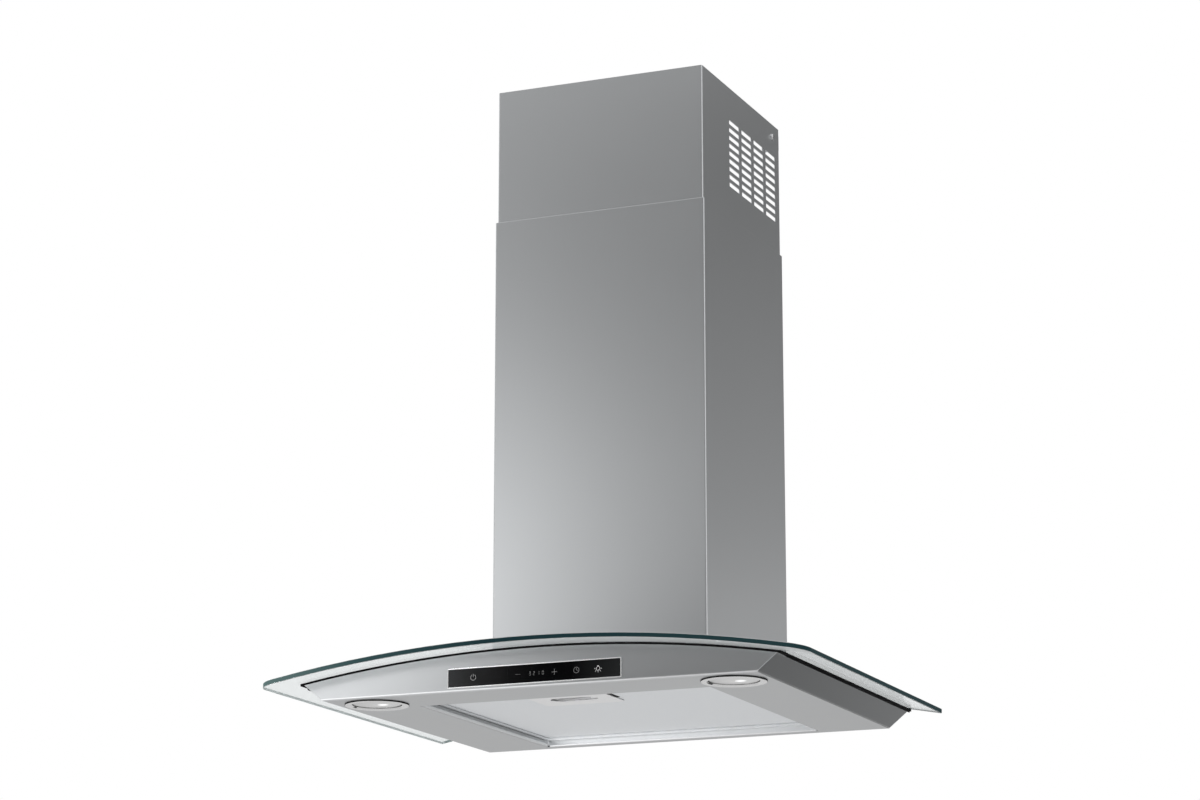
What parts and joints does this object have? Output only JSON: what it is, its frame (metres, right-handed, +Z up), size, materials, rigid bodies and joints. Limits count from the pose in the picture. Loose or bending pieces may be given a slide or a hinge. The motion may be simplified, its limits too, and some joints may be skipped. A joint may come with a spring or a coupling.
{
  "type": "range hood",
  "caption": "Wall-mounted chimney range hood: arched glass canopy, telescopic duct cover, tilting grease filter, round lamps, touch panel and a blower below non-return flaps.",
  "frame": {"origin": "middle of the two wall slots, on the wall's plane", "axes": "+X to the right as seen from the cook's side, +Y into the wall, +Z up"},
  "size_m": [0.598, 0.4415, 0.6991],
  "materials": {
    "brushed_stainless": "satin",
    "galvanised_steel": "matte",
    "spring_steel": "satin",
    "clear_glass": "gloss",
    "black_rubber": "matte",
    "chrome_trim": "polished",
    "black_touch_glass": "gloss",
    "black_plastic": "satin",
    "grey_plastic": "matte",
    "silver_plastic": "satin",
    "white_plastic": "satin",
    "green_board": "satin",
    "filter_aluminium": "satin",
    "lamp_aluminium": "matte",
    "frosted_lens": "satin",
    "motor_steel": "satin",
    "ground_steel": "polished",
    "screw_steel": "gloss"
  },
  "bodies": {
    "hood": {"front_panel": "brushed_stainless", "left_side_panel": "brushed_stainless", "right_side_panel": "brushed_stainless", "bottom_panel": "brushed_stainless", "lower_duct_cover": "brushed_stainless", "rear_panel": "galvanised_steel", "top_plate": "galvanised_steel", "cover_stay": "galvanised_steel", "motor_box": "galvanised_steel", "motor_box_back": "galvanised_steel", "motor_box_top": "galvanised_steel", "motor_bracket": "galvanised_steel", "lamp_clips": "spring_steel", "glass_canopy": "clear_glass", "glass_gasket": "black_rubber", "touch_bezel": "chrome_trim", "left_lamp_ring": "chrome_trim", "right_lamp_ring": "chrome_trim", "touch_glass": "black_touch_glass", "touch_tray": "black_plastic", "left_scroll": "black_plastic", "right_scroll": "black_plastic", "left_inlet_ring": "black_plastic", "right_inlet_ring": "black_plastic", "outlet_spigot": "black_plastic", "cable_gland": "black_plastic", "control_box": "grey_plastic", "control_lid": "grey_plastic", "capacitor": "white_plastic", "touch_board": "green_board", "left_lamp_puck": "lamp_aluminium", "right_lamp_puck": "lamp_aluminium", "left_lamp_lens": "frosted_lens", "right_lamp_lens": "frosted_lens", "motor_can": "motor_steel", "flap_axle": "ground_steel", "motor_box_screws": "screw_steel", "scroll_screws": "screw_steel", "bracket_screws": "screw_steel", "capacitor_nut": "screw_steel", "lid_screws": "screw_steel", "spigot_screws": "screw_steel"},
    "upper_cover": {"upper_duct_cover": "brushed_stainless", "left_upper_bracket": "galvanised_steel", "right_upper_bracket": "galvanised_steel", "upper_cover_screws": "screw_steel"},
    "filter": {"filter_frame": "filter_aluminium", "filter_face_mesh": "filter_aluminium", "filter_media": "filter_aluminium", "filter_back_mesh": "filter_aluminium", "filter_pegs": "ground_steel", "latch_housing": "silver_plastic", "latch_spring": "spring_steel"},
    "latch": {"latch_slider": "silver_plastic", "latch_tongue": "spring_steel"},
    "fan_wheel": {"impeller": "black_plastic", "impeller_blades": "black_plastic", "motor_shaft": "ground_steel"},
    "left_flap": {"left_flap": "black_plastic"},
    "right_flap": {"right_flap": "black_plastic"}
  },
  "joints": [
    {"name": "upper_cover_slide", "type": "slide", "parent": "hood", "child": "upper_cover", "axis": [0, 0, 1], "range_m": [-0.12, 0.29]},
    {"name": "filter_tilt", "type": "hinge", "parent": "hood", "child": "filter", "pos_m": [0, -0.0168, -0.3285], "axis": [1, 0, 0], "range_deg": [0, 75], "deforming": ["latch_tongue"]},
    {"name": "latch_slide", "type": "slide", "parent": "filter", "child": "latch", "axis": [0, 1, 0], "range_m": [0, 0.006], "stiffness_N_per_m": 400, "springref_m": -0.003, "deforming": ["latch_spring"]},
    {"name": "impeller_spin", "type": "hinge", "parent": "hood", "child": "fan_wheel", "pos_m": [0, -0.084, -0.19], "axis": [1, 0, 0], "continuous": true},
    {"name": "left_flap_swing", "type": "hinge", "parent": "hood", "child": "left_flap", "pos_m": [0, -0.1395, -0.026], "axis": [0, 1, 0], "range_deg": [0, 75]},
    {"name": "right_flap_swing", "type": "hinge", "parent": "hood", "child": "right_flap", "pos_m": [0, -0.1395, -0.026], "axis": [0, -1, 0], "range_deg": [0, 75]}
  ]
}
